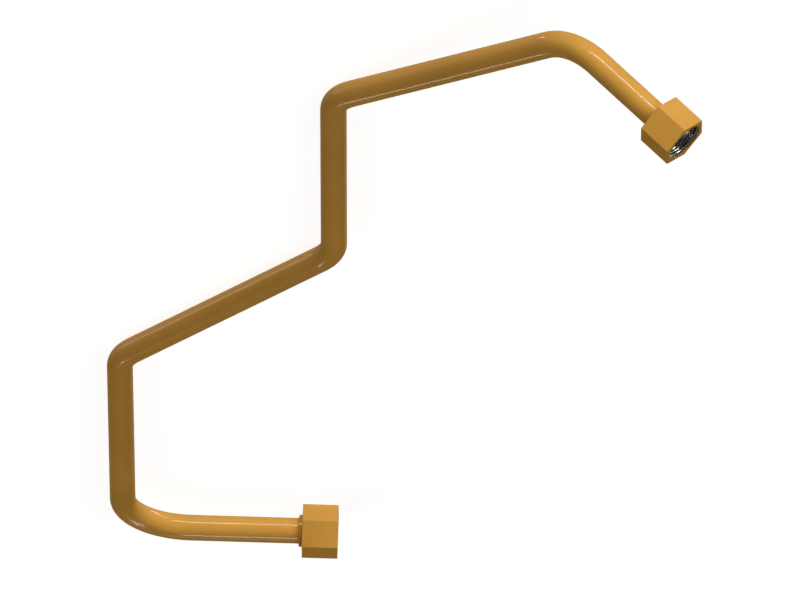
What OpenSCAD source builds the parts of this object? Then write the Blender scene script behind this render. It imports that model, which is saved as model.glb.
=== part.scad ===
// Bent hydraulic tube assembly: one bent steel tube with a brazed flat-face sleeve and a captive
// swivel nut on each end. It lies on a floor, on a flat of its lower nut and on its fourth bend.
// The origin is the centre of the lower sleeve's seal face, +X leaves the lower nut and +Z is up.

/* [Tube] */
// Outside diameter of the tube, 3/4 in
tube_od = 19.05; // [14:0.05:25]
// Wall of the tube, 0.120 in
tube_wall = 3.05; // [1:0.05:5]
// Radius of every bend, to the middle of the tube, 2 in
bend_radius = 50.8; // [40:0.1:65]

/* [Course of the tube] */
// From the lower seal face to the first corner
leg_1 = 148.8; // [120:0.1:300]
// From the first corner to the second
leg_2 = 302.9; // [150:0.1:500]
// From the second corner to the third
leg_3 = 264.5; // [120:0.1:500]
// From the third corner to the fourth
leg_4 = 264.2; // [120:0.1:500]
// From the fourth corner to the fifth
leg_5 = 260.5; // [120:0.1:500]
// From the fifth corner to the upper seal face
leg_6 = 103.2; // [85:0.1:300]
// Turn of the tube at the first bend
bend_1 = 90; // [45:0.05:105]
// Turn of the tube at the second bend
bend_2 = 36.6; // [15:0.05:60]
// Turn of the tube at the third bend
bend_3 = 36.6; // [15:0.05:60]
// Turn of the tube at the fourth bend
bend_4 = 42; // [15:0.05:60]
// Turn of the tube at the fifth bend
bend_5 = 54.85; // [15:0.05:80]
// Twist of the second bend's plane from the first's, about the leg between them
twist_2 = -3.15; // [-15:0.05:15]
// Twist of the third bend's plane from the second's: half a turn bends the tube back
twist_3 = 180; // [165:0.05:195]
// Twist of the fourth bend's plane from the third's
twist_4 = 170.35; // [150:0.05:180]
// Twist of the fifth bend's plane from the fourth's
twist_5 = -38.55; // [-60:0.05:-20]

/* [Sleeves] */
// Wall of a sleeve's tail round the tube
tail_wall = 2.325; // [1:0.005:4]
// How far a sleeve's head stands out past its tail, where the nut pulls on it
head_shoulder = 1.55; // [0.8:0.05:3]
// Length of a sleeve's head, from its seal face to its shoulder
head_length = 6.5; // [4:0.1:12]
// Wall between a sleeve's seal face and the end of the tube
seal_wall = 3; // [1.5:0.1:5]
// Length of a sleeve's tail that shows behind its nut
tail_shows = 2.55; // [1:0.05:10]

/* [Nuts] */
// Depth of the seal face inside the nut's mouth
seal_depth = 10.5; // [8:0.1:20]
// Thickness of the nut behind the sleeve's shoulder
nut_back = 9.25; // [4:0.05:20]
// Wall of the nut outside its thread, at the middle of a flat
nut_wall = 2.381; // [1.5:0.001:6]
// Width of the turned lead-in at the nut's mouth, from the crests of the thread outwards
mouth_lead = 0.9; // [0.3:0.05:1.3]
// Pitch of the nut's thread, 12 to the inch
thread_pitch = 2.117; // [1:0.001:3]
// Length of the turned relief in front of the seal face, where the thread ends
relief_lead = 1; // [0.5:0.1:3]
// How far the upper nut is turned on its sleeve
upper_nut_turn = 24.7; // [0:0.1:60]

/* [Clearances] */
// Between the tube and its socket in a sleeve, all round
braze_gap = 0.05; // [0.02:0.01:0.2]
// Between a sleeve's tail and the hole in the back of its nut, all round
swivel_gap = 0.25; // [0.1:0.01:0.5]
// Between a sleeve's shoulder and its seat in the nut
end_play = 0.15; // [0.05:0.01:0.5]
// Between a sleeve's head and the crests of the thread it passes through, all round
head_gap = 0.486; // [0.2:0.001:1]
// Depth of the relief past the roots of the thread
root_gap = 0.2; // [0.1:0.01:0.4]
// Width of the broken edges on a sleeve
edge_break = 0.5; // [0.2:0.05:0.75]

/* [Hidden] */
$fn = 96;
paint = "#D0983E";

// Diameters, from the tube outwards: they end at a 1-3/16-12 thread in a 1-3/8 in hexagon
tube_bore = tube_od - 2 * tube_wall;
socket_d = tube_od + 2 * braze_gap;
tail_d = socket_d + 2 * tail_wall;
head_d = tail_d + 2 * head_shoulder;
thread_minor = head_d + 2 * head_gap;
// Depth of an internal thread of the 60 degree form, for a pitch of 1
thread_form = 5 / 16 * sqrt(3);
thread_major = thread_minor + 2 * thread_form * thread_pitch;
relief_d = thread_major + 2 * root_gap;
nut_flats = thread_major + 2 * nut_wall;

// Heights along an end's axis, from the seal face: the mouth is ahead of it and the rest behind
nut_seat = -head_length - end_play;
nut_rear = nut_seat - nut_back;
sleeve_rear = nut_rear - tail_shows;

// The nearest angle, within a few hundredths of a degree, whose sine and cosine are both a whole
// number of millionths. Turned by such angles, the faces of neighbouring stretches meet exactly.
million = 1000000;
farthest_sine = 4000;
function cosine_of(sine) = sqrt(million * million - sine * sine);
function is_whole(value) = abs(value - round(value)) < 0.002;
function exact_turn(angle) =
    let (middle = round(million * sin(angle)))
    let (sines = [
        for (step = [0 : farthest_sine])
            for (side = [-1, 1])
                if (is_whole(cosine_of(middle + side * step))) middle + side * step
    ])
    atan2(sines[0], sign(cos(angle)) * round(cosine_of(sines[0])));

// The course, leg by leg and bend by bend
legs = [leg_1, leg_2, leg_3, leg_4, leg_5, leg_6];
bends = [for (angle = [bend_1, bend_2, bend_3, bend_4, bend_5]) exact_turn(angle)];
twists = [for (angle = [0, twist_2, twist_3, twist_4, twist_5, 0]) exact_turn(angle)];
last_leg = len(legs) - 1;
// The length that a corner takes from its legs: a bend's tangent, or a sleeve's seal wall at an end
function trim(corner) =
    corner < 0 || corner == last_leg ? seal_wall : bend_radius * tan(bends[corner] / 2);
function straight(leg) = legs[leg] - trim(leg - 1) - trim(leg);

// How the tube comes to rest. Each place along it is [middle, inner side of the last bend, way
// ahead], as seen with the first bend lying flat and the lower nut on the X axis.
function bend_start(place, bend) = [
    place[0] + straight(bend) * place[2],
    cos(twists[bend]) * place[1] + sin(twists[bend]) * cross(place[2], place[1]),
    place[2]
];
function along_bend(start, angle) = [
    start[0] + bend_radius * ((1 - cos(angle)) * start[1] + sin(angle) * start[2]),
    cos(angle) * start[1] - sin(angle) * start[2],
    cos(angle) * start[2] + sin(angle) * start[1]
];
function place(leg) = leg == 0
    ? [[-seal_wall, 0, 0], [0, 1, 0], [-1, 0, 0]]
    : along_bend(bend_start(place(leg - 1), leg - 1), bends[leg - 1]);
// The tilt about the X axis that sets the tube on the floor at one point of its middle line
nut_stands = (nut_flats - tube_od) / 2;
function tilt_to_floor(point) =
    atan2(point.z, point.y) + asin(nut_stands / norm([point.y, point.z]));
// The tube tips until the first point past the first bend meets the floor under the nut's flat
tilt_steps = 24;
rest_tilt = min([
    for (bend = [1 : last_leg - 1])
        for (step = [0 : tilt_steps])
            tilt_to_floor(along_bend(bend_start(place(bend), bend), bends[bend] * step / tilt_steps)[0])
]);
// The first bend is laid a quarter turn round from upright, and then tilted to its rest
function roll(leg) = leg == 0 ? 90 + rest_tilt : twists[leg];

// The frames of the two ends: the seal face is the XY plane and +Z leaves the nut's mouth
module at_lower_end() {
    rotate([0, 90, 0]) children();
}

module at_upper_end() {
    at_leg(last_leg) translate([0, 0, straight(last_leg) + seal_wall]) children();
}

// The frame at the start of a leg's straight: +Z runs along it, and the next bend turns towards +X
module at_leg(leg) {
    if (leg == 0)
        translate([-seal_wall, 0, 0]) rotate([0, -90, 0]) rotate([0, 0, roll(0)]) children();
    else
        at_leg(leg - 1) past_bend(leg - 1) rotate([0, 0, roll(leg)]) children();
}

// The frame at the end of a bend, from its leg's
module past_bend(bend) {
    at_bend_middle(bend) rotate([0, bends[bend], 0]) translate([-bend_radius, 0, 0]) children();
}

// The frame at the middle of a bend, from its leg's
module at_bend_middle(bend) {
    translate([bend_radius, 0, straight(bend)]) children();
}

module tube_section() {
    difference() {
        circle(d = tube_od);
        circle(d = tube_bore);
    }
}

// A bend is an arc of tube with some to spare, cut off square where the next straight begins
module tube_bend(bend) {
    spare = 5;
    block = 2 * (bend_radius + tube_od);
    at_bend_middle(bend) difference() {
        rotate([90, 0, 180]) rotate_extrude(angle = bends[bend] + spare)
            translate([bend_radius, 0]) tube_section();
        rotate([0, bends[bend], 0]) translate([-block, -block / 2, 0]) cube(block);
    }
}

module tube() {
    color(paint) for (leg = [0 : last_leg]) at_leg(leg) {
        linear_extrude(straight(leg)) tube_section();
        if (leg < last_leg) tube_bend(leg);
    }
}

// A turned sleeve: flat seal face, head, tail and the socket that the tube is brazed into
module sleeve() {
    rotate_extrude() polygon([
        [tube_bore / 2, 0],
        [head_d / 2 - edge_break, 0],
        [head_d / 2, -edge_break],
        [head_d / 2, -head_length],
        [tail_d / 2, -head_length],
        [tail_d / 2, sleeve_rear + edge_break],
        [tail_d / 2 - edge_break, sleeve_rear],
        [socket_d / 2, sleeve_rear],
        [socket_d / 2, -seal_wall],
        [tube_bore / 2, -seal_wall]
    ]);
}

module lower_sleeve() {
    color(paint) at_lower_end() sleeve();
}

module upper_sleeve() {
    color(paint) at_upper_end() sleeve();
}

// The hollow of a nut: lead-in, thread crests, relief, seat for the shoulder and back hole
module nut_hollow() {
    run_out = (relief_d - thread_minor) / 2;
    past_face = 1;
    rotate_extrude() polygon([
        [0, seal_depth + past_face],
        [thread_minor / 2 + mouth_lead + past_face, seal_depth + past_face],
        [thread_minor / 2, seal_depth - mouth_lead],
        [thread_minor / 2, relief_lead + run_out],
        [relief_d / 2, relief_lead],
        [relief_d / 2, nut_seat],
        [tail_d / 2 + swivel_gap, nut_seat],
        [tail_d / 2 + swivel_gap, nut_rear - past_face],
        [0, nut_rear - past_face]
    ]);
}

module nut() {
    difference() {
        translate([0, 0, nut_rear]) cylinder(h = seal_depth - nut_rear, d = nut_flats / cos(30), $fn = 6);
        nut_hollow();
    }
}

// The lower nut is turned so that it lies on a flat
module lower_nut() {
    color(paint) at_lower_end() rotate([0, 0, 30]) nut();
}

module upper_nut() {
    color(paint) at_upper_end() rotate([0, 0, upper_nut_turn]) nut();
}

tube();
lower_sleeve();
upper_sleeve();
lower_nut();
upper_nut();
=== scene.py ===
# %% [markdown]
# # A bent hydraulic tube with a swivel nut on each end
# The real thing is one length of steel tube, bent on a machine in several planes. A sleeve with a flat
# seal face is brazed onto each end, and a hexagon nut that was slipped on first is held captive behind
# it. All of it is sprayed with ochre enamel. Only the nuts' hollows, the seal faces and the bore stay
# bare steel.
# The solids of the part are loaded first. They give the places that each piece has to keep.

# %% The solids
from math import asin, atan2, cos, degrees, pi, radians, sin, sqrt, tan

import bmesh
import bpy
from mathutils import Matrix, Quaternion, Vector


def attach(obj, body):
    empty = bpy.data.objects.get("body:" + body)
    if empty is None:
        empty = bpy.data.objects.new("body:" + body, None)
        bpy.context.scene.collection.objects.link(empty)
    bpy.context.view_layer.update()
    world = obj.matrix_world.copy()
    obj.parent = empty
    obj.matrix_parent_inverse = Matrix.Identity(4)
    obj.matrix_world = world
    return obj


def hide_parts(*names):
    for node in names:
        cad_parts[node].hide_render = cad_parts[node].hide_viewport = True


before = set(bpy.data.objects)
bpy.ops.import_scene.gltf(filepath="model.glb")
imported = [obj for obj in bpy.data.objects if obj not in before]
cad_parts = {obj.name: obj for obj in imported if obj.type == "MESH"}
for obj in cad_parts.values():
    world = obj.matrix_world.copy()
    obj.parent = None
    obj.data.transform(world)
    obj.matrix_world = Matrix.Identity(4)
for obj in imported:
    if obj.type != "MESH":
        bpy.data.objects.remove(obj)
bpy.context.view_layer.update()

# %% [markdown]
# Everything is measured in millimetres, as on a workshop drawing, and Blender works in metres. One
# small function turns the one into the other. The sizes below are the part's own: the tube, and the
# heights along an end's axis, counted from the seal face with the nut's mouth ahead of it.

# %% Sizes
MM = 0.001


def mm(*values):
    """Millimetres as a vector, or as one number, in metres."""
    return Vector(values) * MM if len(values) > 1 else values[0] * MM


TUBE_R = 9.525
BORE_R = 6.475
BEND_R = 50.8
SEAL_WALL = 3.0
TAIL_R = 11.9
HEAD_R = 13.45
HEAD_LENGTH = 6.5
SLEEVE_REAR = -18.45
MOUTH = 10.5
NUT_SEAT = -6.65
NUT_REAR = -15.9
NUT_FLATS = 34.926
ROOT_R = 15.082
CREST_R = 13.936
RELIEF_R = 15.282
BACK_HOLE_R = 12.15
PITCH = 2.117
LOWER_NUT_TURN = 30
UPPER_NUT_TURN = 24.7
ROUND = 96
print("thread depth", round(ROOT_R - CREST_R, 3), "mm, nut length", MOUTH - NUT_REAR, "mm")

# %% [markdown]
# ## Helpers
# An operator works on whatever is selected, so each piece starts from an empty selection. The helpers
# below open a new mesh for editing, select edges in it, and close it again.

# %% Opening and closing a piece
MERGE = 0.004


def start_piece(name, points, radius, place=(0, 0, 0), turn=(0, 0, 0)):
    """Adds a ring of points as a new piece, in edit mode and selected."""
    if bpy.context.object and bpy.context.object.mode != "OBJECT":
        bpy.ops.object.mode_set(mode="OBJECT")
    bpy.ops.object.select_all(action="DESELECT")
    bpy.ops.mesh.primitive_circle_add(
        vertices=points, radius=mm(radius), location=place, rotation=turn, fill_type="NOTHING"
    )
    piece = bpy.context.object
    piece.name = piece.data.name = name
    bpy.ops.object.transform_apply(location=True, rotation=True, scale=True)
    bpy.ops.object.mode_set(mode="EDIT")
    bpy.ops.mesh.select_mode(type="EDGE")
    bpy.ops.mesh.select_all(action="SELECT")
    return piece


def pick(piece, wanted):
    """Selects the edges of a mesh in edit mode that a test picks out."""
    bpy.ops.mesh.select_all(action="DESELECT")
    mesh = bmesh.from_edit_mesh(piece.data)
    for edge in mesh.edges:
        if wanted(edge):
            edge.select_set(True)
    mesh.select_flush_mode()
    bmesh.update_edit_mesh(piece.data)


def close_piece(piece, smooth_angle=35):
    """Merges doubles, turns the faces outwards and shades the round parts smooth."""
    bpy.ops.mesh.select_all(action="SELECT")
    bpy.ops.mesh.remove_doubles(threshold=mm(MERGE))
    bpy.ops.mesh.normals_make_consistent(inside=False)
    bpy.ops.object.mode_set(mode="OBJECT")
    bpy.ops.object.select_all(action="DESELECT")
    piece.select_set(True)
    bpy.context.view_layer.objects.active = piece
    bpy.ops.object.shade_smooth_by_angle(angle=radians(smooth_angle))
    open_edges = sum(1 for count in edge_uses(piece) if count != 2)
    print(piece.name, len(piece.data.polygons), "faces,", open_edges, "open edges")
    return piece


def edge_uses(piece):
    """How many faces meet at each edge of a mesh."""
    uses = [0] * len(piece.data.edges)
    for loop in piece.data.loops:
        uses[loop.edge_index] += 1
    return uses


# %% [markdown]
# ## The course of the tube
# A tube bender works from a short list: feed a length, twist the tube about its own axis, bend it by an
# angle. The same list drives this mesh. The first twist also tilts the whole tube, so that it lies on
# the floor on a flat of its lower nut and on its fourth bend.

# %% Course
LEGS = [148.8, 302.9, 264.5, 264.2, 260.5, 103.2]
BENDS = [90, 36.5963, 36.5963, 41.9927, 54.8513]
TWISTS = [1.2466, -3.1449, 180, 170.3503, -38.5865, 0]


def taken_by(corner):
    """The length that a corner takes from its legs."""
    if corner in (-1, len(BENDS)):
        return SEAL_WALL
    return BEND_R * tan(radians(BENDS[corner]) / 2)


feeds = [leg - taken_by(i - 1) - taken_by(i) for i, leg in enumerate(LEGS)]
print("straights between bends:", [round(feed, 1) for feed in feeds], "mm")

# %% [markdown]
# The tube could be a curve with a round bevel, but a curve bunches its points in the bends. Here a ring
# of edges is drawn along instead, as the bender does it: extrude for a straight, spin for a bend. At
# the far end the ring is scaled down to the bore and drawn all the way back, so that one mesh has both
# skins. Spin turns the opposite way from the right-hand rule, so its angle is negative on the way out.

# %% Tube outside
RING = 64
BEND_STEP = 2.5
middle = Vector((-SEAL_WALL, 0, 0))
inner = Vector((0, 1, 0))
ahead = Vector((-1, 0, 0))
tube_start = middle.copy()
course = []
tube = start_piece("tube_skin", RING, TUBE_R, middle * MM, (0, pi / 2, 0))
for leg, feed in enumerate(feeds):
    inner.rotate(Matrix.Rotation(radians(TWISTS[leg]), 3, ahead))
    bpy.ops.mesh.extrude_region_move(TRANSFORM_OT_translate={"value": ahead * mm(feed)})
    course.append(("straight", ahead * mm(feed)))
    middle += ahead * feed
    if leg < len(BENDS):
        hub = middle + inner * BEND_R
        axle = ahead.cross(inner)
        spin = {"steps": round(BENDS[leg] / BEND_STEP), "center": hub * MM, "axis": axle}
        bpy.ops.mesh.spin(angle=-radians(BENDS[leg]), **spin)
        course.append(("bend", radians(BENDS[leg]), spin))
        bend = Matrix.Rotation(radians(BENDS[leg]), 3, axle)
        middle = hub + bend @ (middle - hub)
        inner.rotate(bend)
        ahead.rotate(bend)
upper_in, upper_out = inner.copy(), ahead.copy()
upper_face = middle + ahead * SEAL_WALL
print("upper seal face at", [round(v, 2) for v in upper_face], "mm")


# %% Tube bore
def rescale_ring(from_radius, to_radius, centre):
    """Extrudes the selected ring on the spot and scales it to another radius."""
    bpy.ops.mesh.extrude_region_move(TRANSFORM_OT_translate={"value": (0, 0, 0)})
    bpy.ops.transform.resize(value=[to_radius / from_radius] * 3, center_override=centre * MM)


rescale_ring(TUBE_R, BORE_R, middle)
for kind, move, *spin in reversed(course):
    if kind == "straight":
        bpy.ops.mesh.extrude_region_move(TRANSFORM_OT_translate={"value": -move})
    else:
        bpy.ops.mesh.spin(angle=move, **spin[0])
rescale_ring(BORE_R, TUBE_R, tube_start)
close_piece(tube, smooth_angle=60)

# %% [markdown]
# ## The sleeves
# A sleeve is turned on a lathe. Its section could be wound up by a Screw modifier, but stepping a ring
# shows each cut of the tool: the ring is extruded and scaled from step to step round the whole section,
# and merging doubles joins the last ring to the first. The tail ends in a small fillet where the braze
# has run out onto the tube.


# %% Drawing a turned piece
def lathe_step(step, next_step):
    """Extrudes the selected ring from one (radius, height) to the next, in millimetres."""
    rise = mm(next_step[1] - step[1])
    bpy.ops.mesh.extrude_region_move(TRANSFORM_OT_translate={"value": (0, 0, rise)})
    grow = next_step[0] / step[0]
    bpy.ops.transform.resize(value=(grow, grow, 1), center_override=(0, 0, mm(next_step[1])))


def turn_section(name, section):
    """Draws a ring through a closed list of (radius, height) steps."""
    piece = start_piece(name, ROUND, section[0][0], (0, 0, mm(section[0][1])))
    for step, next_step in zip(section, section[1:] + section[:1]):
        lathe_step(step, next_step)
    return piece


# %% Sleeve
EDGE = 0.5
BRAZE = 0.8
BRAZE_STEPS = 6
braze_turns = [pi / 2 * step / BRAZE_STEPS for step in range(BRAZE_STEPS + 1)]
braze_run = [
    (TUBE_R + BRAZE * (1 - sin(turn)), SLEEVE_REAR - BRAZE * (1 - cos(turn))) for turn in braze_turns
]
sleeve = turn_section("sleeve", [
    (BORE_R, 0),
    (HEAD_R - EDGE, 0),
    (HEAD_R, -EDGE),
    (HEAD_R, -HEAD_LENGTH),
    (TAIL_R, -HEAD_LENGTH),
    (TAIL_R, SLEEVE_REAR + EDGE),
    (TAIL_R - EDGE, SLEEVE_REAR),
    *braze_run,
    (TUBE_R, -SEAL_WALL),
    (BORE_R, -SEAL_WALL),
])
close_piece(sleeve)

# %% [markdown]
# ## The nuts
# A nut is a length of hexagon bar with a turned hollow. A Boolean could cut the hollow, but it leaves
# long thin triangles, so one ring goes round the whole section here as well. Six corners are subdivided
# and extruded from the back to the mouth. There the points are drawn in to a circle, and the ring goes
# down the hollow: a lead-in at the mouth, the wall at the roots of the thread, a relief where the
# thread ends, the seat that pulls on the sleeve, and the hole for the sleeve's tail. At the back the
# points are drawn out to the hexagon again and merge with the first.

# %% Nut
SIDES = 6
MOUTH_LEAD = 0.9
LEAD_DEPTH = 0.6
RELIEF_LEAD = 1.0
RELIEF_EDGE = 0.2
hollow = [
    (CREST_R + MOUTH_LEAD, MOUTH),
    (CREST_R + MOUTH_LEAD, MOUTH - LEAD_DEPTH),
    (ROOT_R, MOUTH - MOUTH_LEAD),
    (ROOT_R, RELIEF_LEAD + RELIEF_EDGE),
    (RELIEF_R, RELIEF_LEAD),
    (RELIEF_R, NUT_SEAT),
    (BACK_HOLE_R, NUT_SEAT),
    (BACK_HOLE_R, NUT_REAR),
]
hex_flat = NUT_FLATS / 2
hex_corner = hex_flat / cos(pi / SIDES)


def draw_points(piece, reach):
    """Extrudes the selected ring on the spot and moves its points in or out, to a reach by angle."""
    bpy.ops.mesh.extrude_region_move(TRANSFORM_OT_translate={"value": (0, 0, 0)})
    mesh = bmesh.from_edit_mesh(piece.data)
    for vert in mesh.verts:
        if vert.select:
            vert.co.xy = vert.co.xy.normalized() * mm(reach(atan2(vert.co.y, vert.co.x)))
    bmesh.update_edit_mesh(piece.data)


nut = start_piece("nut", SIDES, hex_corner, (0, 0, mm(NUT_REAR)), (0, 0, pi / SIDES))
bpy.ops.mesh.subdivide(number_cuts=ROUND // SIDES - 1)
bpy.ops.mesh.extrude_region_move(TRANSFORM_OT_translate={"value": (0, 0, mm(MOUTH - NUT_REAR))})
draw_points(nut, lambda angle: hollow[0][0])
for step, next_step in zip(hollow, hollow[1:]):
    lathe_step(step, next_step)
draw_points(nut, lambda angle: hex_flat / cos(angle % (2 * pi / SIDES) - pi / SIDES))
bpy.ops.mesh.select_all(action="SELECT")
bpy.ops.mesh.remove_doubles(threshold=mm(MERGE))
print("hexagon", NUT_FLATS, "mm across flats and", round(2 * hex_corner, 2), "mm across corners")

# %% [markdown]
# Bar stock has crisp corners, and a coat of enamel rounds them by a few tenths of a millimetre. The
# bevel is made on the hexagon's edges only: they lie further out than the hollow reaches.

# %% Nut edges
COAT_ROUND = 0.3
SLACK = 0.05


def on_hexagon(edge):
    """True for the rims and the corner edges of the hexagon."""
    a, b = (vert.co for vert in edge.verts)
    level = abs(a.z - b.z) < mm(SLACK)
    return min(a.xy.length, b.xy.length) > mm((hex_flat if level else hex_corner) - SLACK)


pick(nut, on_hexagon)
bpy.ops.mesh.bevel(offset=mm(COAT_ROUND), segments=2, affect="EDGES")
close_piece(nut, smooth_angle=25)

# %% [markdown]
# ## The thread
# The thread is a ridge of the 60 degree form, wound inside the nut with twelve turns to the inch. Its
# section is drawn once, with a rounded crest between two flanks and its foot sunk into the wall, and a
# Screw modifier winds it up. Plain grooves would be quicker, but a real thread climbs. The round of the
# crest touches both flanks, so its radius follows from the pitch. At the roots the ridge is seven
# eighths of a pitch wide.

# %% Thread ridge
TURNS = 3.5
FIRST_RIDGE = 1.7
FOOT = 0.3
FLANK = pi / 3
CREST_STEPS = 8
crest_round = PITCH * sqrt(3) / 8
foot_half = PITCH * 7 / 16 + FOOT * tan(pi / 6)
crest_turns = [FLANK * (2 * step / CREST_STEPS - 1) for step in range(CREST_STEPS + 1)]
section = [(ROOT_R + FOOT, -foot_half)]
section += [(CREST_R + crest_round * (1 - cos(turn)), crest_round * sin(turn)) for turn in crest_turns]
section += [(ROOT_R + FOOT, foot_half)]
thread = start_piece("thread", len(section), 1)
mesh = bmesh.from_edit_mesh(thread.data)
mesh.verts.ensure_lookup_table()
for vert, (radius, height) in zip(mesh.verts, section):
    vert.co = mm(radius, 0, FIRST_RIDGE + height)
bmesh.update_edit_mesh(thread.data)
bpy.ops.object.mode_set(mode="OBJECT")
wind = thread.modifiers.new("wind", "SCREW")
wind.axis = "Z"
wind.angle = 2 * pi * TURNS
wind.screw_offset = mm(PITCH * TURNS)
wind.steps = wind.render_steps = round(ROUND * TURNS)
wind.use_normal_calculate = True
bpy.ops.object.modifier_apply(modifier="wind")
print("thread rises", round((thread.bound_box[1][2] - thread.bound_box[0][2]) / MM, 2), "mm")

# %% [markdown]
# A tap runs out of the wall gradually, so the first and the last quarter of a turn sink into it. Each
# end of the ridge is then closed by one face: its open edges lie little more than half a pitch away.

# %% Thread run-out
RUN_OUT = 0.25
SUNK = 0.1
END_REACH = 0.6 * PITCH
foot_out = mm(ROOT_R + FOOT)
for vert in thread.data.vertices:
    turns_up = vert.index // len(section) / ROUND
    stands = max(SUNK, min(1, turns_up / RUN_OUT, (TURNS - turns_up) / RUN_OUT))
    out = vert.co.xy.length
    vert.co.xy *= (foot_out - (foot_out - out) * stands) / out
bpy.ops.object.mode_set(mode="EDIT")
bpy.ops.mesh.select_mode(type="EDGE")
for end in (FIRST_RIDGE, FIRST_RIDGE + PITCH * TURNS):
    pick(thread, lambda edge: edge.is_boundary
         and abs((edge.verts[0].co.z + edge.verts[1].co.z) / 2 - mm(end)) < mm(END_REACH))
    bpy.ops.mesh.edge_face_add()
close_piece(thread, smooth_angle=25)

# %% [markdown]
# ## Materials
# Colours are written as they look on a screen, as six hex digits, and one function turns them into the
# linear values that a shader works with. One more function adds a node, sets it up and links it.


# %% Colour and nodes
def linear(hex_colour):
    """A screen colour as linear red, green, blue and alpha."""
    parts = [int(hex_colour[i:i + 2], 16) / 255 for i in (1, 3, 5)]
    return [p / 12.92 if p <= 0.04045 else ((p + 0.055) / 1.055) ** 2.4 for p in parts] + [1]


def add_node(tree, kind, values=None, links=None, **settings):
    """Adds a node, gives its sockets values, links them to other nodes' outputs and returns it."""
    node = tree.nodes.new(kind)
    for key, value in settings.items():
        setattr(node, key, value)
    for key, value in (values or {}).items():
        node.inputs[key].default_value = value
    for key, output in (links or {}).items():
        tree.links.new(output, node.inputs[key])
    return node


def new_material(name):
    """An empty material with only its output, and the tree to build it in."""
    material = bpy.data.materials.new(name)
    material.use_nodes = True
    material.node_tree.nodes.clear()
    return material, material.node_tree


# %% [markdown]
# The paint is a sprayed alkyd enamel, baked on. It could be one glossy shader, but that gives a tube a
# pale rim where it turns away, which this paint hasn't got. So the paint itself mirrors nothing, and a
# thin coat over it, of low weight and high index, draws the lamps as narrow lines. Up close there is
# the fine ripple that is called orange peel, kept low because the lines run straight, and the shade
# drifts a little over a hand's width, where the spray passes overlap.

# %% Ochre enamel
SPRAY_PASS = 60
PEEL = 2
PEEL_DEPTH = 0.05
# A warm yellow, matt in the broad and bright only in thin lines
enamel, tree = new_material("ochre_enamel")
place = add_node(tree, "ShaderNodeTexCoord").outputs["Object"]
drift = add_node(tree, "ShaderNodeTexNoise", {"Scale": 1 / mm(SPRAY_PASS), "Detail": 2}, {"Vector": place})
ramp = add_node(tree, "ShaderNodeValToRGB", links={"Fac": drift.outputs["Fac"]})
ramp.color_ramp.elements[0].position, ramp.color_ramp.elements[1].position = 0.35, 0.65
ramp.color_ramp.elements[0].color = linear("#CD963F")
ramp.color_ramp.elements[1].color = linear("#D59C44")
peel = add_node(tree, "ShaderNodeTexNoise", {"Scale": 1 / mm(PEEL), "Detail": 1}, {"Vector": place})
ripple = add_node(tree, "ShaderNodeBump", {"Strength": 0.015, "Distance": mm(PEEL_DEPTH)},
                  {"Height": peel.outputs["Fac"]})
gloss = add_node(tree, "ShaderNodeMapRange", {"To Min": 0.3, "To Max": 0.4},
                 {"Value": drift.outputs["Fac"]})
paint = add_node(tree, "ShaderNodeBsdfPrincipled", {
    "Specular IOR Level": 0.0, "Coat Weight": 0.075, "Coat IOR": 2.6, "Coat Roughness": 0.13,
}, {
    "Base Color": ramp.outputs["Color"],
    "Roughness": gloss.outputs["Result"],
    "Normal": ripple.outputs["Normal"],
})
add_node(tree, "ShaderNodeOutputMaterial", links={"Surface": paint.outputs["BSDF"]})
print(enamel.name, "drifts over", SPRAY_PASS, "mm and ripples every", PEEL, "mm")

# %% [markdown]
# The threads and the seal faces are masked off before the spray and stay bare: steel with the fine
# rings that a lathe tool leaves round the axis. A picture of them would need the surface laid out flat.
# A Mapping node looks at each end along its own axis instead, where the rings follow radius and height
# alike. They are drawn 0.6 mm apart, about twice as coarse as they are, so that they show.

# %% Turned steel
RING_STEP = 0.6


def turned_steel(end, matrix):
    """Bare steel, ringed round the axis of one end: bright, with a grain that breaks up mirrors."""
    material, tree = new_material(f"turned_steel_{end}")
    seen = matrix.inverted()
    place = add_node(tree, "ShaderNodeTexCoord").outputs["Object"]
    own = add_node(tree, "ShaderNodeMapping", {
        "Location": seen.translation, "Rotation": seen.to_euler(),
    }, {"Vector": place}).outputs["Vector"]
    height = add_node(tree, "ShaderNodeSeparateXYZ", links={"Vector": own}).outputs["Z"]
    flat = add_node(tree, "ShaderNodeVectorMath", {1: (1, 1, 0)}, {0: own}, operation="MULTIPLY")
    radius = add_node(tree, "ShaderNodeVectorMath", links={0: flat.outputs["Vector"]},
                      operation="LENGTH")
    travel = add_node(tree, "ShaderNodeMath", links={0: radius.outputs["Value"], 1: height},
                      operation="ADD")
    phase = add_node(tree, "ShaderNodeMath", {1: 2 * pi / mm(RING_STEP)}, {0: travel.outputs["Value"]},
                     operation="MULTIPLY")
    rings = add_node(tree, "ShaderNodeMath", links={0: phase.outputs["Value"]}, operation="SINE")
    marks = add_node(tree, "ShaderNodeMapRange", {"From Min": -1}, {"Value": rings.outputs["Value"]})
    tone = add_node(tree, "ShaderNodeValToRGB", links={"Fac": marks.outputs["Result"]})
    tone.color_ramp.elements[0].color = linear("#C6C4C1")
    tone.color_ramp.elements[1].color = linear("#DEDCD8")
    dull = add_node(tree, "ShaderNodeMapRange", {"To Min": 0.1, "To Max": 0.18},
                    {"Value": marks.outputs["Result"]})
    bare = add_node(tree, "ShaderNodeBsdfPrincipled", {"Metallic": 1}, {
        "Base Color": tone.outputs["Color"], "Roughness": dull.outputs["Result"],
    })
    add_node(tree, "ShaderNodeOutputMaterial", links={"Surface": bare.outputs["BSDF"]})
    print(material.name, "has rings every", RING_STEP, "mm")
    return material


# %% [markdown]
# No paint gets into the bore. It is steel as the drawing bench left it: grey and dull, and darkened by
# the oil of the bench in blotches of a few millimetres. An even grey would look like primer.

# %% Drawn steel
BLOTCH = 4
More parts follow.
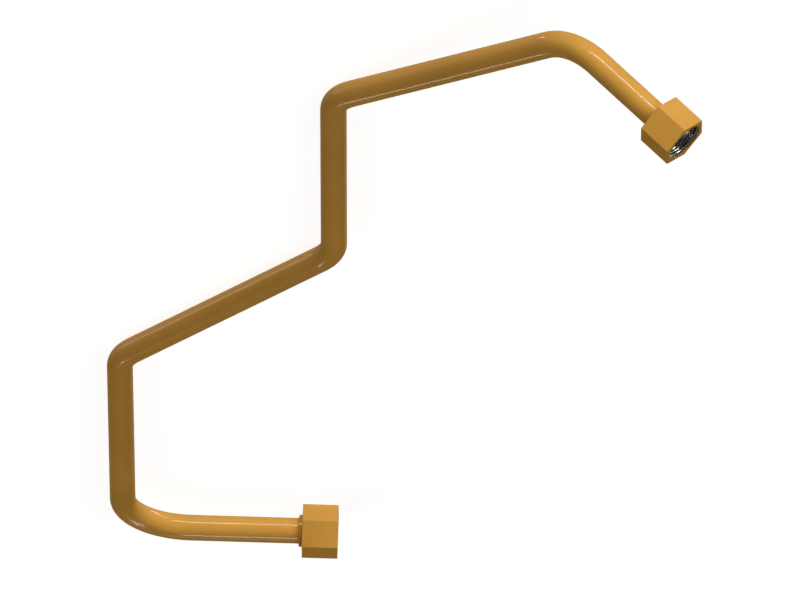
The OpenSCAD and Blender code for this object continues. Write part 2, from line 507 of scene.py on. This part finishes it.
# A blotched grey without shine, that stays dark behind the bright thread
drawn_steel, tree = new_material("drawn_steel")
place = add_node(tree, "ShaderNodeTexCoord").outputs["Object"]
blotches = add_node(tree, "ShaderNodeTexNoise", {"Scale": 1 / mm(BLOTCH), "Detail": 3}, {"Vector": place})
tone = add_node(tree, "ShaderNodeValToRGB", links={"Fac": blotches.outputs["Fac"]})
tone.color_ramp.elements[0].color = linear("#6E6B68")
tone.color_ramp.elements[1].color = linear("#9A9793")
bore = add_node(tree, "ShaderNodeBsdfPrincipled", {"Metallic": 1, "Roughness": 0.45}, {
    "Base Color": tone.outputs["Color"],
})
add_node(tree, "ShaderNodeOutputMaterial", links={"Surface": bore.outputs["BSDF"]})
print(drawn_steel.name, "is blotched every", BLOTCH, "mm")

# %% [markdown]
# ## Putting the pieces in place
# The sleeve, the nut and its thread were drawn once, standing on the seal face with the mouth upwards.
# A copy of each, with its own mesh, is turned into the frame of each end, and its place is applied.


# %% End frames
def end_frame(out, side, face):
    """The matrix of an end: Z out of the mouth, X to a side, the seal face at its origin."""
    turned = Matrix((side, out.cross(side), out)).transposed().to_4x4()
    return Matrix.Translation(face * MM) @ turned


ENDS = {
    "lower": (end_frame(Vector((1, 0, 0)), Vector((0, 0, -1)), Vector((0, 0, 0))), LOWER_NUT_TURN),
    "upper": (end_frame(upper_out, upper_in, upper_face), UPPER_NUT_TURN),
}


def place_copy(pattern, name, matrix):
    """A copy of a pattern, with its own mesh, set in place and with its place applied."""
    copy = pattern.copy()
    copy.data = pattern.data.copy()
    copy.name = copy.data.name = name
    bpy.context.collection.objects.link(copy)
    copy.matrix_world = matrix
    bpy.ops.object.select_all(action="DESELECT")
    copy.select_set(True)
    bpy.context.view_layer.objects.active = copy
    bpy.ops.object.transform_apply(location=True, rotation=True, scale=True)
    return copy


# %% [markdown]
# The tube is where it belongs already. Its two skins are told apart by their faces, which are narrower
# round the bore than round the outside.

# %% Tube in place
side_between = pi * (TUBE_R + BORE_R) / RING


def shortest_side(mesh, face):
    """The length of a face's shortest side."""
    corners = [mesh.vertices[i].co for i in face.vertices]
    return min((a - b).length for a, b in zip(corners, corners[1:] + corners[:1]))


tube.data.materials.append(enamel)
tube.data.materials.append(drawn_steel)
for face in tube.data.polygons:
    face.material_index = 1 if shortest_side(tube.data, face) < mm(side_between) else 0
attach(tube, "pipe")
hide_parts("tube")
print("bare faces in the bore:", sum(face.material_index for face in tube.data.polygons))

# %% [markdown]
# A sleeve's head and a nut's hollow are bare where no spray reaches. The lead-in at a nut's mouth is
# painted with the outside. The faces are told apart by their place, as seen from the end's own frame.


# %% Both ends
def bare_inside(piece, matrix):
    """Gives the second finish to the faces of an end's piece that the spray doesn't reach."""
    seen_from_end = matrix.inverted()
    for face in piece.data.polygons:
        spot = seen_from_end @ face.center
        deep = mm(NUT_SEAT - SLACK) < spot.z < mm(MOUTH - MOUTH_LEAD)
        face.material_index = 1 if deep and spot.xy.length < mm(RELIEF_R + SLACK) else 0
    return sum(face.material_index for face in piece.data.polygons)


ridges = []
for end, (matrix, turn) in ENDS.items():
    steel = turned_steel(end, matrix)
    clocked = matrix @ Matrix.Rotation(radians(turn), 4, "Z")
    collar = place_copy(sleeve, f"{end}_sleeve_turned", matrix)
    hexagon = place_copy(nut, f"{end}_nut_bar", clocked)
    for piece in (collar, hexagon):
        piece.data.materials.append(enamel)
        piece.data.materials.append(steel)
        print(piece.name, "has", bare_inside(piece, matrix), "bare faces")
    ridge = place_copy(thread, f"{end}_nut_thread", clocked)
    ridge.data.materials.append(steel)
    ridges.append(ridge)
    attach(collar, "pipe")
    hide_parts(f"{end}_sleeve")
    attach(hexagon, f"{end}_nut_body")
    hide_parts(f"{end}_nut")
    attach(ridge, f"{end}_nut_body")
for pattern in (sleeve, nut, thread):
    bpy.data.objects.remove(pattern)

# %% [markdown]
# ## Floor, light and camera
# The part lies on a white floor. The floor glows for the camera, so that it stays white, and it takes
# some of the lamps' light too, so that the part's shadow shows on it. The photograph has the tube the
# other way up, lit from above. On the part as it lies, that light comes from below, so the floor lets
# it through.

# %% Floor
FLOOR_Z = -NUT_FLATS / 2
FLOOR_GLOW = 0.87
FLOOR_GREY = 0.38
FLOOR_SIZE = 60
bpy.ops.object.select_all(action="DESELECT")
bpy.ops.mesh.primitive_plane_add(size=FLOOR_SIZE, location=(0, 0, mm(FLOOR_Z)))
floor = bpy.context.object
floor.name = "floor"
# White paper to the camera and in mirrors, grey chalk to the lamps
white_floor, tree = new_material("white_floor")
path = add_node(tree, "ShaderNodeLightPath")
seen = add_node(tree, "ShaderNodeMath", operation="MAXIMUM", links={
    0: path.outputs["Is Camera Ray"], 1: path.outputs["Is Glossy Ray"],
})
glow = add_node(tree, "ShaderNodeMapRange", {"To Min": 0.0, "To Max": FLOOR_GLOW},
                {"Value": seen.outputs["Value"]})
lit = add_node(tree, "ShaderNodeEmission", {"Color": (1, 1, 1, 1)},
               {"Strength": glow.outputs["Result"]})
chalk = add_node(tree, "ShaderNodeBsdfDiffuse", {"Color": [FLOOR_GREY] * 3 + [1]})
both = add_node(tree, "ShaderNodeAddShader",
                links={0: lit.outputs["Emission"], 1: chalk.outputs["BSDF"]})
add_node(tree, "ShaderNodeOutputMaterial", links={"Surface": both.outputs["Shader"]})
floor.data.materials.append(white_floor)
floor.visible_shadow = False
floor.visible_glossy = False
print("floor at", FLOOR_Z, "mm")

# %% [markdown]
# The sky is white for the camera and an even grey for the soft light on the paint. Bare steel is a
# mirror and needs something to show, so in mirrors the sky is bright below, where the floor would be,
# and dark above.

# %% Sky
SKY_LIGHT = 0.177
MIRRORED_FLOOR = 1.0
MIRRORED_SKY = 0.1
world = bpy.data.worlds.new("pale_sky")
bpy.context.scene.world = world
world.use_nodes = True
tree = world.node_tree
tree.nodes.clear()
path = add_node(tree, "ShaderNodeLightPath")
way = add_node(tree, "ShaderNodeTexCoord").outputs["Generated"]
height = add_node(tree, "ShaderNodeSeparateXYZ", links={"Vector": way})
mirrored = add_node(tree, "ShaderNodeMapRange", {
    "From Min": -0.3, "From Max": -0.05, "To Min": MIRRORED_FLOOR, "To Max": MIRRORED_SKY,
}, {"Value": height.outputs["Z"]})
level = add_node(tree, "ShaderNodeMix", {"A": SKY_LIGHT},
                 {"Factor": path.outputs["Is Glossy Ray"], "B": mirrored.outputs["Result"]})
level = add_node(tree, "ShaderNodeMix", {"B": 1.0},
                 {"Factor": path.outputs["Is Camera Ray"], "A": level.outputs["Result"]})
sky = add_node(tree, "ShaderNodeBackground", {"Color": (1, 1, 1, 1)},
               {"Strength": level.outputs["Result"]})
add_node(tree, "ShaderNodeOutputWorld", links={"Surface": sky.outputs["Background"]})
print("sky gives", SKY_LIGHT, "and mirrors as", MIRRORED_SKY, "above and", MIRRORED_FLOOR, "below")

# %% [markdown]
# Every lamp stands twelve metres off, so that it lights both ends of the part alike. Lamps are placed
# and sized in metres. A long strip gives the main light, and two large boxes fill in from the front and
# from the back. The third box is for the side that the camera doesn't see.

# %% Main lamps
PART_MIDDLE = Vector((0.06, 0.49, 0.02))
LAMP_DISTANCE = 12


def add_lamp(name, way, width, length, power, lean=0):
    """A rectangular lamp that lights the part from a direction, its long side leaning by some degrees."""
    lamp = bpy.data.lights.new(name, "AREA")
    lamp.shape = "RECTANGLE"
    lamp.size, lamp.size_y = length, width
    lamp.energy = power
    holder = bpy.data.objects.new(name, lamp)
    bpy.context.collection.objects.link(holder)
    aim = Vector(way).normalized()
    holder.location = PART_MIDDLE + aim * LAMP_DISTANCE
    upright = (-aim).to_track_quat("-Z", "Y")
    holder.rotation_euler = (upright @ Quaternion((0, 0, 1), radians(lean))).to_euler()
    print(name, "lamp at", [round(v, 1) for v in holder.location], "m,", power, "W")
    return holder


add_lamp("under_strip", (0.2, 0.85, -0.485), 1.5, 11, 1165)
for box in (
    add_lamp("front_box", (0.45, 0.8, 0.35), 7, 7, 465),
    add_lamp("back_box", (-0.6, -0.68, 0.5), 7, 7, 300),
    add_lamp("rear_box", (-0.013, -0.918, -0.396), 7, 7, 500),
):
    box.visible_glossy = False

# %% [markdown]
# The thin bright lines along the tube are lamps, mirrored in its gloss. Each one stands where a straight
# or a bend mirrors it to the camera. A small lamp is enough for a line along a straight, and the first
# bend needs long strips, which lean as its curve does. Such a lamp gives no soft light, and it is linked
# to the pieces that it is there for, so that it leaves no sparks on the others.


# %% Gleams
def add_gleam(name, way, width, length, power, pieces, lean=0):
    """A lamp that shows only in the gloss of some pieces."""
    lamp = add_lamp(name, way, width, length, power, lean)
    lamp.visible_diffuse = False
    shown_on = bpy.data.collections.new(name)
    for piece in pieces:
        shown_on.objects.link(piece)
    lamp.light_linking.receiver_collection = shown_on


add_gleam("first_leg_low", (-0.013, -0.198, 0.98), 2.2, 2.2, 230, [tube])
add_gleam("first_leg_edge", (-0.013, -0.637, 0.77), 2.2, 2.2, 60, [tube])
add_gleam("first_bend_inner", (0.69, 0.05, -0.72), 1.2, 11, 750, [tube], lean=12)
add_gleam("first_bend_outer", (0.28, -0.7, 0.66), 0.8, 6.5, 230, [tube], lean=29)
add_gleam("third_leg_top", (-0.859, -0.291, -0.419), 2.5, 2.5, 70, [tube])
add_gleam("fifth_leg_low", (-0.449, -0.702, 0.548), 1.4, 1.4, 75, [tube])
add_gleam("fifth_bend", (-0.735, -0.084, -0.673), 1.5, 1.5, 120, [tube])
add_gleam("mouth", (0.84, 0.53, -0.08), 5, 5, 900, ridges)

# %% [markdown]
# The camera stands far off with a long lens, as in the photograph, so parallel edges stay parallel. It
# looks down on the floor from the far side and hangs upside down, because the photograph shows the tube
# the other way up from how it comes to rest. Its place and its three axes were fitted to the edges of
# the tube in the photograph.

# %% Camera
FOCAL_PIXELS = 27000
FRAME_WIDTH = 800
SENSOR_WIDTH = 36
CAMERA_PLACE = (302.757, 18452.671, 7761.464)
camera_data = bpy.data.cameras.new("camera")
camera = bpy.data.objects.new("camera", camera_data)
bpy.context.collection.objects.link(camera)
camera_data.sensor_width = SENSOR_WIDTH
camera_data.lens = FOCAL_PIXELS / FRAME_WIDTH * SENSOR_WIDTH
camera_data.clip_end = 100
right = Vector((0.9995061, -0.0001215, -0.031424))
up = Vector((-0.0288092, 0.3958425, -0.9178664))
back_way = Vector((0.0125505, 0.9183184, 0.3956435))
view = Matrix((right, up, back_way)).transposed().to_4x4()
camera.matrix_world = Matrix.Translation(mm(*CAMERA_PLACE)) @ view
scene = bpy.context.scene
scene.camera = camera
scene.view_settings.view_transform = "Standard"
looks_down = degrees(asin(back_way.z))
print("lens", round(camera_data.lens), "mm, looking down by", round(looks_down, 1), "degrees")
